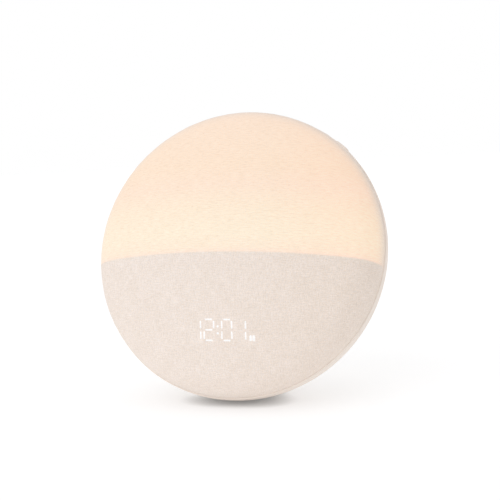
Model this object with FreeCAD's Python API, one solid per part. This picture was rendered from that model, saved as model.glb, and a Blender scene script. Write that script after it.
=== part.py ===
"""Round bedside sunrise alarm clock: a leaning pebble with a deep cloth-covered dome for a face.

The clock frame has x to the right, y up the face and z straight out of the face, with its
origin at the centre of the face's rim circle. The finished clock leans back by lean_angle and
stands on a round foot. Its own origin is the centre of the foot's underside, with the front
towards -Y and +Z up. All sizes are millimetres.
"""
import FreeCAD, Part
import math
import os

from FreeCAD import Placement, Rotation, Vector

os.makedirs("parts", exist_ok=True)

# Face dome, drawn as a crown arc that runs tangent into a tighter edge arc
face_radius = 100.0
crown_radius = 193.5
edge_radius = 28.85
cloth_thickness = 0.9
cloth_gap = 0.15
shell_wall = 2.4
skirt_depth = 4.0
horizon_height = -12.0
horizon_gap = 0.2

# Rear housing, a straight lip, a shoulder arc and a shallow back
lip_proud = 1.0
lip_step = 0.3
lip_round = 0.75
lip_drop = 3.0
shoulder_radius = 40.0
back_radius = 400.0
housing_wall = 2.6
rebate_clearance = 0.2
rebate_depth = 4.6
rib_count = 10
rib_height = 4.0
rib_thickness = 1.6

# Back panel, let into the housing's back and screwed to a ledge round the opening
panel_radius = 64.0
panel_clearance = 0.3
panel_edge_round = 0.4
panel_screw_inset = 3.8
panel_screw_sink = 1.6
panel_screw_angles = (45.0, 135.0, -135.0, -45.0)
ledge_width = 6.0
ledge_thickness = 2.0

# How the clock stands
lean_angle = 22.0
ground_clearance = 1.12
foot_radius = 27.0
foot_setback = 10.0
foot_height = 12.0
foot_edge_round = 5.0
foot_base_round = 1.0
pad_radius = 24.0
pad_thickness = 1.2
pad_stand_proud = 0.8
foot_screw_offset = 13.0
foot_screw_forward = 5.0
foot_screw_length = 9.0
foot_screw_wall = 1.4
foot_screw_lift = 2.5

# General fits
slide_clearance = 0.3
seat_clearance = 0.15
hole_clearance = 0.25
overcut = 1.0

# Hoop that clamps the cloth hem, and the chassis plate that holds it down
hoop_shelf = 3.0
hoop_thickness = 1.8
hoop_upstand = 3.0
hoop_upstand_wall = 1.4
chassis_thickness = 2.0
chassis_rib_height = 3.0
chassis_boss_radius = 3.6
chassis_boss_inset = 6.0
chassis_boss_angles = (66.0, 140.0, -140.0, -66.0)
chassis_rib_share = 0.75

# Light engine behind the upper half
board_thickness = 1.6
led_board_inset = 12.0
led_board_lift = 1.7
led_size = 5.0
led_height = 1.6
led_window_clearance = 0.4
led_rows = ((0.3, 3), (0.575, 5), (0.85, 7))
led_fan_angle = 78.0
led_board_screw_angles = (-64.0, -22.0, 22.0, 64.0)
reflector_wall = 0.8
reflector_rim_clearance = 1.15
reflector_rim_height = 9.0
baffle_thickness = 1.6
baffle_foot = 1.0
baffle_clearance = 0.3

# Display, laid out in the plane of the face
display_height = -61.0
display_shift = 2.0
display_half_width = 24.5
display_half_height = 9.5
display_flange = 5.5
display_flange_extra_height = 3.0
display_flange_thickness = 2.0
display_flange_clearance = 1.1
digit_pitch = 9.0
hour_minute_pitch = 12.0
digit_half_width = 3.3
digit_half_height = 6.4
segment_width = 1.2
segment_gap = 1.6
well_clearance = 0.05
colon_half_spacing = 2.14
colon_dot_radius = 0.75
indicator_place = (22.2, -65.9)
indicator_lobe_radius = 0.95
indicator_lobe_spacing = 1.5
light_source_size = 0.8
light_source_height = 0.4
shown_digits = ("bc", "abged", "abcdef", "bc")

# Rim buttons, pressed towards the centre of the clock
button_width = 5.0
button_length = 12.0
button_proud = 1.9
button_spacing = 17.0
button_edge_round = 0.5
snooze_length = 38.0
snooze_proud = 1.1
button_flange = 1.2
button_flange_thickness = 1.2
button_travel = 0.7
button_stem_radius = 1.8
side_button_angle = 35.6
switch_board_inset = 15.0
switch_board_half_width = 5.0
switch_size = 6.0
switch_height = 3.5
plunger_radius = 1.7
plunger_proud = 1.5
plunger_length = 2.7

# Screws and the bosses that take them
boss_radius = 2.6
screw_radius = 0.9
screw_head_radius = 2.0
screw_head_height = 1.3
screw_length = 6.0
screw_recess_length = 2.2
screw_recess_width = 0.5
screw_recess_depth = 0.8

# Main board, behind the chassis plate
main_board_size = (80.0, 54.0)
main_board_height = -35.0
main_board_standoff = 6.0
main_board_screw_inset = 4.0
connector_depth = 5.0
connector_size = (9.0, 5.0)
speaker_connector = (12.0, -19.0)
display_connector = (26.0, -17.0)
lamp_connector = (-32.0, 2.0)
power_connector = (34.0, 12.0)

# Chips and cans on the main board: sizes, then the place from the board's middle
board_chips = (
    (12.0, 12.0, 1.4, -12.0, 4.0),
    (8.0, 6.0, 1.6, 8.0, 8.0),
    (8.0, 6.0, 1.6, 8.0, -3.0),
    (18.0, 16.0, 2.6, -12.0, -15.0),
    (7.0, 7.0, 4.2, 24.0, 6.0),
)
board_cans = (
    (3.2, 8.0, 22.0, -6.0),
    (3.2, 8.0, 31.0, -4.0),
    (2.6, 3.0, -26.0, -17.0),
)

# Speaker, centred on the back
grille_radius = 24.8
grille_thickness = 1.6
grille_opening_radius = 21.0
grille_hole_radius = 1.25
grille_ring_pitch = 5.2
grille_rings = 3
speaker_flange_radius = 31.0
speaker_screw_inset = 3.0
speaker_screw_count = 4
speaker_standoff = 1.4
speaker_sheet = 1.2
basket_mouth_radius = 21.6
basket_throat_radius = 14.0
basket_bore_radius = 8.2
basket_depth = 11.0
basket_window_width = 11.0
basket_window_margin = 1.6
pole_plate_radius = 14.5
pole_plate_thickness = 2.4
pole_radius = 5.9
magnet_radius = 16.0
magnet_bore_radius = 9.0
magnet_thickness = 5.0
coil_radius = 6.8
coil_wall = 0.4
coil_gap = 0.4
coil_length = 9.0
cone_radius = 17.6
cone_wall = 0.7
cone_depth = 6.0
cone_lift = 0.9
dust_cap_radius = 3.6
dust_cap_height = 1.4
surround_lift = 0.4
surround_gap = 0.3
surround_roll = 1.05
surround_skin = 0.3

# Back panel fittings, one each side of the speaker
fitting_offset = 42.0
fitting_height = -14.0
jack_pocket_radius = 5.5
jack_pocket_depth = 4.0
jack_pocket_wall = 1.8
jack_size = (9.0, 11.0, 13.0)
jack_bore_radius = 3.2
jack_bore_depth = 9.5
jack_pin_radius = 1.0
jack_pin_recess = 1.5
jack_lug_size = (2.4, 0.6, 2.0)
jack_lug_pitch = 4.0
fitting_board_size = (12.0, 30.0)
fitting_screw_offset = 12.0
slider_travel = 4.0
slider_nub = (3.6, 5.0)
slider_nub_proud = 0.2
slider_flange = (8.0, 11.0, 0.9)
slider_recess = (10.0, 18.0, 1.0)
slider_switch_size = (8.0, 14.0, 4.0)
slider_stem = (2.0, 2.0, 2.5)

# Leads
lead_radius = 0.9
lead_bend = 3.5
power_lead_drop = 8.0
ribbon_thickness = 0.6
ribbon_width = 14.0
ribbon_lap = 3.0
ribbon_slot_margin = 2.0

# Values worked out from the ones above
lip_radius = face_radius + lip_proud
edge_centre = face_radius - edge_radius
crown_drop = math.sqrt((crown_radius - edge_radius) ** 2 - edge_centre ** 2)
crown_angle = math.degrees(math.atan2(crown_drop, edge_centre))
shoulder_centre = lip_radius - shoulder_radius
back_centre = math.sqrt((back_radius - shoulder_radius) ** 2 - shoulder_centre ** 2) - lip_drop
back_angle = -math.degrees(math.atan2(back_centre + lip_drop, shoulder_centre))
shell_outer = cloth_thickness + cloth_gap
shell_inner = shell_outer + shell_wall
hoop_bore = face_radius - shell_inner - seat_clearance - hoop_upstand_wall
hoop_inner_radius = hoop_bore - hoop_shelf
hoop_top = -skirt_depth - seat_clearance
hoop_floor = hoop_top - hoop_thickness
chassis_top = hoop_top + chassis_thickness + seat_clearance
chassis_floor = chassis_top - chassis_thickness
chassis_boss_circle = hoop_inner_radius - chassis_boss_inset
led_board_radius = hoop_inner_radius - led_board_inset
led_board_floor = chassis_top + led_board_lift
led_board_top = led_board_floor + board_thickness
main_board_top = chassis_floor - main_board_standoff
main_board_floor = main_board_top - board_thickness
switch_board_seat = lip_radius - switch_board_inset
plunger_top = switch_board_seat + switch_height + plunger_proud
button_depth = -hoop_floor + slide_clearance + button_flange + button_width / 2.0
speaker_screw_circle = speaker_flange_radius - speaker_screw_inset
panel_screw_circle = panel_radius - panel_screw_inset
tip_wall = housing_wall / 2.0
lean = math.radians(lean_angle)
casing_drop = shoulder_radius + shoulder_centre * math.cos(lean) + lip_drop * math.sin(lean)
face_height = casing_drop + ground_clearance

AXIS = Vector(0, 0, 1)
CENTRE = Vector(0, 0, 0)

# The clock frame placed in the standing clock
stand = Placement(Vector(0, -foot_setback, face_height), Rotation(Vector(1, 0, 0), 90.0 - lean_angle))
stand_matrix = stand.toMatrix()
clock_matrix = stand.inverse().toMatrix()


def moved(shape, matrix):
    """A copy of the shape with the matrix worked into its geometry."""
    copy = shape.copy()
    copy.transformShape(matrix)
    return copy


def export(name, shape, frame=stand_matrix):
    """Write one node, moved from its own frame to the standing clock."""
    placed = moved(shape, frame) if frame is not None else shape
    placed.exportStep("parts/" + name + ".step")


def line(start, end):
    """A straight edge in the section plane, whose points are (radius, height)."""
    return Part.LineSegment(Vector(start[0], 0, start[1]), Vector(end[0], 0, end[1])).toShape()


def arc(centre, radius, first, last):
    """An arc in the section plane; angles are degrees from the outward radius."""
    points = []
    for angle in (first, (first + last) / 2.0, last):
        turn = math.radians(angle)
        points.append(Vector(centre[0] + radius * math.cos(turn), 0, centre[1] + radius * math.sin(turn)))
    return Part.Arc(*points).toShape()


def revolve(edges):
    """Turn a closed section about the clock's z axis."""
    wire = Part.Wire(Part.__sortEdges__(edges))
    return Part.Face(wire).revolve(CENTRE, AXIS, 360)


def turned(points):
    """A solid of revolution with straight-sided section through the points."""
    edges = [line(points[i - 1], points[i]) for i in range(len(points))]
    return revolve(edges)


def ring(inner, outer, low, high):
    """A plain ring about the z axis."""
    return turned([(inner, low), (outer, low), (outer, high), (inner, high)])


def cylinder(radius, low, high, x=0.0, y=0.0):
    """A cylinder along z from low to high."""
    return Part.makeCylinder(radius, high - low, Vector(x, y, low))


def box(width, depth, low, high, x=0.0, y=0.0):
    """A block centred on (x, y) from low to high."""
    return Part.makeBox(width, depth, high - low, Vector(x - width / 2.0, y - depth / 2.0, low))


def stadium(length, width, low, high, x=0.0, y=0.0, upright=False):
    """A prism with a round-ended outline, lying along x, or along y when upright."""
    radius = width / 2.0
    half = length / 2.0 - radius
    if half < 0.01:
        return cylinder(radius, low, high, x, y)
    right_rear, right_front = Vector(half, radius, low), Vector(half, -radius, low)
    left_rear, left_front = Vector(-half, radius, low), Vector(-half, -radius, low)
    edges = [
        Part.LineSegment(right_rear, left_rear).toShape(),
        Part.Arc(left_rear, Vector(-half - radius, 0, low), left_front).toShape(),
        Part.LineSegment(left_front, right_front).toShape(),
        Part.Arc(right_front, Vector(half + radius, 0, low), right_rear).toShape(),
    ]
    prism = Part.Face(Part.Wire(edges)).extrude(Vector(0, 0, high - low))
    if upright:
        prism.rotate(CENTRE, AXIS, 90)
    prism.translate(Vector(x, y, 0))
    return prism


def polar(radius, angle):
    """The (x, y) of a point on the face, its angle clockwise from twelve o'clock."""
    turn = math.radians(angle)
    return radius * math.sin(turn), radius * math.cos(turn)


def screw(x, y, seat, points_up=False):
    """A cross-recessed screw whose head sits on the seat height; its shank runs away from the head."""
    way = 1.0 if points_up else -1.0
    top = seat - way * screw_head_height
    head = Part.makeCylinder(screw_head_radius, screw_head_height, Vector(x, y, seat), Vector(0, 0, -way))
    shank = Part.makeCylinder(screw_radius, screw_length, Vector(x, y, seat), Vector(0, 0, way))
    rim = [edge for edge in head.Edges if abs(edge.CenterOfMass.z - top) < 0.01]
    head = head.makeChamfer(screw_head_height / 3.0, rim)
    low, high = sorted((top - way * overcut, top + way * screw_recess_depth))
    cross = box(screw_recess_length, screw_recess_width, low, high, x, y)
    cross = cross.fuse(box(screw_recess_width, screw_recess_length, low, high, x, y))
    return head.cut(cross).fuse(shank).removeSplitter()


def screw_hole(low, high, x, y):
    """A clearance hole for a screw's shank."""
    return cylinder(screw_radius + hole_clearance, low, high, x, y)


def one(shape):
    """A boolean result as one clean solid."""
    clean = shape.removeSplitter()
    return clean.Solids[0] if len(clean.Solids) == 1 else clean


def dome_solid(inset, floor):
    """Everything inside the dome surface, inset from the cloth's outside, down to the floor."""
    rim = face_radius - inset
    top = crown_radius - inset - crown_drop
    edges = [
        arc((edge_centre, 0), edge_radius - inset, 0, crown_angle),
        arc((0, -crown_drop), crown_radius - inset, crown_angle, 90),
        line((0, top), (0, floor)),
        line((0, floor), (rim, floor)),
        line((rim, floor), (rim, 0)),
    ]
    return revolve(edges)


def casing_solid(inset, top=0.0):
    """Everything inside the housing's outer surface, inset by a wall, up to a flat top."""
    rim = lip_radius - inset
    floor = back_centre - back_radius + inset
    edges = [
        line((rim, top), (rim, -lip_drop)),
        arc((shoulder_centre, -lip_drop), shoulder_radius - inset, 0, back_angle),
        arc((0, back_centre), back_radius - inset, back_angle, -90),
        line((0, floor), (0, top)),
        line((0, top), (rim, top)),
    ]
    return revolve(edges)


def inner_radius(depth, inset):
    """Radius of the housing surface at a depth behind the rim, inset by a wall."""
    return shoulder_centre + math.sqrt((shoulder_radius - inset) ** 2 - (depth - lip_drop) ** 2)


def back_height(radius, inset):
    """Height of the housing's back surface at a radius from the centre."""
    return back_centre - math.sqrt((back_radius - inset) ** 2 - radius ** 2)


def dome_height(radius, inset):
    """Height of the dome surface, inset from the cloth's outside, at a radius."""
    if radius < (crown_radius - inset) * math.cos(math.radians(crown_angle)):
        return math.sqrt((crown_radius - inset) ** 2 - radius ** 2) - crown_drop
    return math.sqrt((edge_radius - inset) ** 2 - (radius - edge_centre) ** 2)


speaker_seat = back_height(speaker_screw_circle, housing_wall) + speaker_standoff
display_corner = math.hypot(abs(display_shift) + display_half_width + display_flange,
                            abs(display_height) + display_half_height + display_flange_extra_height)
display_back = dome_height(display_corner, shell_inner) - display_flange_thickness - display_flange_clearance
reflector_rim_radius = edge_centre - reflector_rim_clearance + math.sqrt(
    (edge_radius - shell_inner) ** 2 - (reflector_rim_height + reflector_wall) ** 2)


def half_space(above):
    """A large block above or below the horizon line of the face."""
    size = 4.0 * face_radius
    shift = horizon_gap / 2.0
    middle = horizon_height + shift + size / 2.0 if above else horizon_height - shift - size / 2.0
    return box(size, size, -size / 2.0, size / 2.0, 0, middle)


def make_cloth():
    """The linen skin: pulled over both shells and turned down behind the housing's lip."""
    return one(dome_solid(0, -skirt_depth).cut(dome_solid(cloth_thickness, -skirt_depth - overcut)))


def display_window(clearance, low, high):
    """The rectangular window in the lower shell that the light-well block fills."""
    width = 2.0 * (display_half_width - clearance)
    height = 2.0 * (display_half_height - clearance)
    return box(width, height, low, high, display_shift, display_height)


def make_shells():
    """The milky upper diffuser and the opaque lower shell, split at the horizon."""
    whole = dome_solid(shell_outer, -skirt_depth).cut(dome_solid(shell_inner, -skirt_depth - overcut))
    diffuser = one(whole.common(half_space(True)))
    lower = whole.common(half_space(False))
    lower = one(lower.cut(display_window(0, 0, crown_radius)))
    return diffuser, lower


def make_baffle():
    """The wall behind the horizon line that keeps lamp light out of the lower half."""
    chamber = dome_solid(shell_inner + baffle_clearance, chassis_floor)
    hoop_space = ring(hoop_bore - seat_clearance, face_radius, chassis_floor - overcut,
                      hoop_top + hoop_upstand + slide_clearance)
    chamber = chamber.cut(hoop_space)
    slab = box(2.0 * face_radius, baffle_thickness, chassis_top, crown_radius, 0, horizon_height)
    foot = box(2.0 * led_board_radius, 3.0 * baffle_thickness,
               chassis_top, chassis_top + baffle_foot, 0, horizon_height)
    return one(slab.fuse(foot).common(chamber))


def make_hoop():
    """The hoop that lies under the shells' skirts and traps the cloth's hem."""
    outer = inner_radius(-hoop_floor, housing_wall) - 2.0 * slide_clearance
    upstand_inner = hoop_bore
    upstand_outer = upstand_inner + hoop_upstand_wall
    section = [
        (hoop_inner_radius, hoop_floor),
        (outer, hoop_floor),
        (outer, hoop_top),
        (upstand_outer, hoop_top),
        (upstand_outer, hoop_top + hoop_upstand),
        (upstand_inner, hoop_top + hoop_upstand),
        (upstand_inner, hoop_top),
        (hoop_inner_radius, hoop_top),
    ]
    return turned(section)


def make_chassis():
    """The plate screwed to the housing bosses; it carries the light engine and both main boards."""
    rim = hoop_bore - seat_clearance
    plate = cylinder(rim, chassis_floor, chassis_top)
    rib_outer = hoop_inner_radius - 2.0 * seat_clearance
    plate = plate.fuse(ring(rib_outer - rib_thickness, rib_outer, hoop_floor + overcut, chassis_floor))
    rib = chassis_rib_share * hoop_inner_radius
    plate = plate.fuse(ring(rib, rib + rib_thickness, chassis_floor - chassis_rib_height, chassis_floor))
    for x, y in led_board_screw_places():
        plate = plate.fuse(cylinder(boss_radius, chassis_top, led_board_floor, x, y))
    for x, y in display_screw_places():
        plate = plate.fuse(cylinder(boss_radius, chassis_top, display_back - board_thickness, x, y))
    for x, y in main_board_screw_places():
        plate = plate.fuse(cylinder(boss_radius, main_board_top, chassis_floor, x, y))
    below = chassis_floor - overcut
    above = chassis_top + overcut
    drilled = []
    for x, y in led_board_screw_places():
        drilled.append(cylinder(screw_radius, below, led_board_floor, x, y))
    for x, y in display_screw_places():
        drilled.append(cylinder(screw_radius, display_back - 3.0 * screw_length, display_back, x, y))
    for x, y in main_board_screw_places():
        drilled.append(cylinder(screw_radius, main_board_top, above, x, y))
    for angle in chassis_boss_angles:
        drilled.append(screw_hole(below, above, *polar(chassis_boss_circle, angle)))
    slot_length = ribbon_width + 2.0 * ribbon_slot_margin
    drilled.append(stadium(slot_length, 2.0 * ribbon_slot_margin, below, above, display_shift, ribbon_slot))
    drilled.append(cylinder(2.0 * lead_radius, below, above, *led_lead_place))
    return one(plate.cut(Part.makeCompound(drilled)))


def led_places():
    """Where each lamp package sits: three fans of lamps spread over the upper half."""
    places = []
    for share, count in led_rows:
        step = 2.0 * led_fan_angle / (count - 1)
        for i in range(count):
            places.append(polar(share * led_board_radius, -led_fan_angle + step * i))
    return places


def led_board_screw_places():
    """Four screws near the curved edge of the half-round lamp board."""
    return [polar(led_board_radius - 2.0 * boss_radius, angle) for angle in led_board_screw_angles]


def display_screw_places():
    """One screw at each end of the display flange."""
    reach = display_half_width + display_flange / 2.0
    return [(display_shift + side * reach, display_height) for side in (-1, 1)]


def main_board_screw_places():
    """A screw in each corner of the main board."""
    reach_x = main_board_size[0] / 2.0 - main_board_screw_inset
    reach_y = main_board_size[1] / 2.0 - main_board_screw_inset
    return [(sx * reach_x, main_board_height + sy * reach_y) for sx in (-1, 1) for sy in (-1, 1)]


ribbon_slot = display_height - display_half_height - display_flange_extra_height - 2.0 * ribbon_slot_margin
led_lead_place = (0.0, horizon_height + 3.0 * baffle_thickness)


def make_light_engine():
    """The half-round lamp board, its lamps and the white reflector tray laid over it."""
    cut_line = horizon_height + 2.0 * baffle_thickness
    keep = box(4.0 * face_radius, 2.0 * face_radius, -face_radius, face_radius, 0, cut_line + face_radius)
    top = led_board_top + reflector_wall
    holes = [screw_hole(led_board_floor, top, x, y) for x, y in led_board_screw_places()]
    board = cylinder(led_board_radius, led_board_floor, led_board_top).common(keep)
    slot = cylinder(2.0 * lead_radius, led_board_floor, led_board_top, *led_lead_place)
    board = one(board.cut(Part.makeCompound(holes + [slot])))
    lamp_top = led_board_top + led_height
    lamps = [box(led_size, led_size, led_board_top, lamp_top, x, y) for x, y in led_places()]
    base_radius = led_board_radius + reflector_wall
    low = led_board_top
    tray = turned([
        (0, low),
        (base_radius, low),
        (reflector_rim_radius, reflector_rim_height),
        (reflector_rim_radius, reflector_rim_height + reflector_wall),
        (base_radius - reflector_wall, low + reflector_wall),
        (0, low + reflector_wall),
    ]).common(keep)
    window = led_size + 2.0 * led_window_clearance
    cuts = [box(window, window, low, top, x, y) for x, y in led_places()]
    heads = [cylinder(screw_head_radius + hole_clearance, low, top, x, y)
             for x, y in led_board_screw_places()]
    tray = one(tray.cut(Part.makeCompound(cuts + heads)))
    return board, Part.makeCompound(lamps), tray


def segment_places():
    """Every bar of the four digits as (letter, x, y, upright), seven to a digit."""
    half = digit_half_height / 2.0
    bars = {
        "a": (0, digit_half_height, False),
        "b": (digit_half_width, half, True),
        "c": (digit_half_width, -half, True),
        "d": (0, -digit_half_height, False),
        "e": (-digit_half_width, -half, True),
        "f": (-digit_half_width, half, True),
        "g": (0, 0, False),
    }
    inner = hour_minute_pitch / 2.0
    centres = (-inner - digit_pitch, -inner, inner, inner + digit_pitch)
    digits = []
    for centre in centres:
        digits.append({key: (centre + x, display_height + y, up) for key, (x, y, up) in bars.items()})
    return digits


def light_bar(place, extra, low, high):
    """One bar of a digit as a prism, grown on every side by extra."""
    x, y, upright = place
    reach = digit_half_height if upright else 2.0 * digit_half_width
    length = reach - segment_gap + 2.0 * extra
    return stadium(length, segment_width + 2.0 * extra, low, high, x, y, upright)


def light_points(extra, low, high):
    """The colon's two dots and the round-lobed indicator after the last digit."""
    dots = [cylinder(colon_dot_radius + extra, low, high, 0, display_height + side * colon_half_spacing)
            for side in (-1, 1)]
    lobes = [cylinder(indicator_lobe_radius + extra, low, high,
                      indicator_place[0] + side * indicator_lobe_spacing / 2.0,
                      indicator_place[1] + side * indicator_lobe_spacing / 8.0) for side in (-1, 1)]
    return dots + [one(lobes[0].fuse(lobes[1]))]


def light_source(low, x, y):
    """One small lamp package of the display board."""
    return box(light_source_size, light_source_size, low, low + light_source_height, x, y)


def make_display():
    """The light-well block, the clear bars that fill its wells, and the board behind."""
    skin = dome_solid(shell_outer, -skirt_depth)
    low = display_back
    flange_width = 2.0 * (display_half_width + display_flange)
    flange_height = 2.0 * (display_half_height + display_flange_extra_height)
    flange_top = low + display_flange_thickness
    flange = box(flange_width, flange_height, low, flange_top, display_shift, display_height)
    block = display_window(2.0 * seat_clearance, low, crown_radius).common(skin).fuse(flange)
    wells = []
    lit = []
    unlit = []
    sources = []
    bar_low = low + 0.3 * display_flange_thickness
    for letters, digit in zip(shown_digits, segment_places()):
        for letter, place in digit.items():
            wells.append(light_bar(place, well_clearance, low, crown_radius))
            bar = one(light_bar(place, 0, bar_low, crown_radius).common(skin))
            if letter in letters:
                lit.append(bar)
            else:
                unlit.append(bar)
            sources.append(light_source(low, place[0], place[1]))
    wells.extend(light_points(well_clearance, low, crown_radius))
    lit.extend(one(point.common(skin)) for point in light_points(0, bar_low, crown_radius))
    for side in (-1, 1):
        sources.append(light_source(low, 0, display_height + side * colon_half_spacing))
    sources.append(light_source(low, *indicator_place))
    holes = [screw_hole(low - board_thickness, flange_top, x, y) for x, y in display_screw_places()]
    block = one(block.cut(Part.makeCompound(wells)).cut(Part.makeCompound(holes)))
    board = box(flange_width, flange_height, low - board_thickness, low, display_shift, display_height)
    board = one(board.cut(Part.makeCompound(holes)))
    return block, Part.makeCompound(lit), Part.makeCompound(unlit), board, Part.makeCompound(sources)


def make_main_board():
    """The controller board and the parts soldered to its rear side."""
    width, height = main_board_size
    holes = [screw_hole(main_board_floor, main_board_top, x, y) for x, y in main_board_screw_places()]
    board = box(width, height, main_board_floor, main_board_top, 0, main_board_height)
    board = one(board.cut(Part.makeCompound(holes)))
    face = main_board_floor
    parts = []
    for chip_width, chip_height, depth, x, y in board_chips:
        parts.append(box(chip_width, chip_height, face - depth, face, x, main_board_height + y))
    for radius, depth, x, y in board_cans:
        parts.append(cylinder(radius, face - depth, face, x, main_board_height + y))
    long_side, short_side = connector_size
    for x, y in (speaker_connector, display_connector):
        parts.append(box(long_side, short_side, face - connector_depth, face, x, main_board_height + y))
    for x, y in (lamp_connector, power_connector):
        parts.append(box(short_side, long_side, face - connector_depth, face, x, main_board_height + y))
    return board, Part.makeCompound(parts)


def rim_frame(angle):
    """The frame of a rim button group: x clockwise round the rim, y to the rear, z outwards."""
    turn = Rotation(AXIS, -angle).multiply(Rotation(Vector(1, 0, 0), -90.0))
    return Placement(Vector(0, 0, -button_depth), turn).toMatrix()


def flange_seat(reach):
    """How far out a button flange may stand, clear of the curved housing wall."""
    wall = inner_radius(button_depth + button_width / 2.0 + button_flange, housing_wall)
    return math.sqrt(wall ** 2 - reach ** 2) - slide_clearance


# Each group as its name, its angle and its buttons: name, place along the rim, length and height
rim_groups = (
    ("right", side_button_angle, (
        ("volume_up", -button_spacing / 2.0, button_length, button_proud),
        ("volume_down", button_spacing / 2.0, button_length, button_proud),
    )),
    ("left", -side_button_angle, (
        ("brightness_down", -button_spacing / 2.0, button_length, button_proud),
        ("brightness_up", button_spacing / 2.0, button_length, button_proud),
    )),
    ("top", 0.0, (
        ("snooze", 0.0, snooze_length, snooze_proud),
    )),
)


def group_reach(buttons):
    """Half the width that a group's flanges take along the rim."""
    return max(abs(x) + length / 2.0 + button_flange for _, x, length, _ in buttons)


def group_screw_reach(buttons):
    """How far from the middle of a group its two board screws stand."""
    return group_reach(buttons) + boss_radius + 2.0 * slide_clearance


def make_button(x, length, proud, reach, frame):
    """One rim button, a round-ended cap with a retaining flange and a stem, and its switch plunger."""
    seat = flange_seat(reach)
    flange_low = seat - button_flange_thickness
    cap = stadium(length, button_width, flange_low, lip_radius + 2.0 * proud, x)
    cap = moved(cap, frame).common(casing_solid(-proud))
    crest = max(cap.Faces, key=lambda face: math.hypot(face.CenterOfMass.x, face.CenterOfMass.y))
    cap = cap.makeFillet(button_edge_round, crest.Edges)
    flange = stadium(length + 2.0 * button_flange, button_width + 2.0 * button_flange, flange_low, seat, x)
    stem = cylinder(button_stem_radius, plunger_top, flange_low, x)
    cap = one(cap.fuse(moved(flange.fuse(stem), frame)))
    plunger = moved(cylinder(plunger_radius, plunger_top - plunger_length, plunger_top, x), frame)
    return cap, plunger


def make_rim_group(angle, buttons):
    """The switch board of one group with its tact switches and screws."""
    frame = rim_frame(angle)
    screw_reach = group_screw_reach(buttons)
    length = 2.0 * (screw_reach + boss_radius)
    seat = switch_board_seat
    floor = seat - board_thickness
    board = stadium(length, 2.0 * switch_board_half_width, floor, seat)
    holes = [screw_hole(floor, seat, side * screw_reach, 0) for side in (-1, 1)]
    board = board.cut(Part.makeCompound(holes))
    screws = [screw(side * screw_reach, 0, floor, points_up=True) for side in (-1, 1)]
    well_floor = plunger_top - plunger_length - button_travel - slide_clearance
    switches = []
    for _, x, _, _ in buttons:
        body = box(switch_size, switch_size, seat, seat + switch_height, x)
        well = cylinder(plunger_radius + hole_clearance, well_floor, seat + switch_height, x)
        switches.append(moved(one(body.cut(well)), frame))
    return moved(one(board), frame), [moved(item, frame) for item in screws], switches


def fitting_board(side, low):
    """A small board behind one of the back fittings, low being its rear face."""
    x = side * fitting_offset
    top = low + board_thickness
    board = box(fitting_board_size[0], fitting_board_size[1], low, top, x, fitting_height)
    ends = [fitting_height + end * fitting_screw_offset for end in (-1, 1)]
    holes = [screw_hole(low, top, x, y) for y in ends]
    screws = [screw(x, y, top) for y in ends]
    return one(board.cut(Part.makeCompound(holes))), screws


fitting_radius = math.hypot(fitting_offset, fitting_height)
wall_inside = back_height(fitting_radius, housing_wall)
wall_outside = back_height(fitting_radius, 0)
jack_mouth = wall_inside + jack_pocket_depth + seat_clearance
jack_board_low = jack_mouth + jack_size[2]
slider_flange_low = wall_inside + slider_recess[2] + 2.0 * slide_clearance
slider_switch_low = slider_flange_low + slider_flange[2] + slide_clearance
slider_board_low = slider_switch_low + slider_switch_size[2]


def make_jack():
    """The barrel power inlet, its centre pin and its solder lugs."""
    x = fitting_offset
    body = box(jack_size[0], jack_size[1], jack_mouth, jack_board_low, x, fitting_height)
    bore_top = jack_mouth + jack_bore_depth
    body = body.cut(cylinder(jack_bore_radius, jack_mouth, bore_top, x, fitting_height))
    pin_low = jack_mouth + jack_pin_recess
    pin = cylinder(jack_pin_radius, pin_low, bore_top, x, fitting_height)
    tip = [edge for edge in pin.Edges if abs(edge.CenterOfMass.z - pin_low) < 0.01]
    pin = pin.makeFillet(0.4 * jack_pin_radius, tip)
    width, depth, height = jack_lug_size
    low = jack_board_low + board_thickness
    lugs = [box(width, depth, low, low + height, x, fitting_height + i * jack_lug_pitch) for i in (-1, 0, 1)]
    return one(body), Part.makeCompound([pin] + lugs)


def make_slider():
    """The alarm on-off slide: its knob at the lower, off, end and the switch that it moves."""
    x = -fitting_offset
    y = fitting_height - slider_travel / 2.0
    low = slider_flange_low
    flange_top = low + slider_flange[2]
    stem_top = flange_top + slider_stem[2]
    nub_low = wall_outside - slider_nub_proud
    knob = stadium(slider_nub[1], slider_nub[0], nub_low, flange_top, x, y, upright=True)
    knob = knob.fuse(box(slider_flange[0], slider_flange[1], low, flange_top, x, y))
    knob = knob.fuse(box(slider_stem[0], slider_stem[1], flange_top, stem_top, x, y))
    width, height, _ = slider_switch_size
    body = box(width, height, slider_switch_low, slider_board_low, x, fitting_height)
    track = slider_stem[1] + slider_travel + 2.0 * slide_clearance
    body = body.cut(box(slider_stem[0] + 2.0 * slide_clearance, track, slider_switch_low,
                        stem_top + slide_clearance, x, fitting_height))
    return one(knob), one(body)


basket_top = speaker_seat + speaker_sheet
basket_floor = speaker_seat + basket_depth
motor_seat = basket_floor + speaker_sheet
magnet_seat = motor_seat + pole_plate_thickness
yoke_seat = magnet_seat + magnet_thickness


def speaker_screw_places():
    """The screws that hold the speaker's flange, on the diagonals."""
    step = 360.0 / speaker_screw_count
    return [polar(speaker_screw_circle, step * (i + 0.5)) for i in range(speaker_screw_count)]


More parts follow.
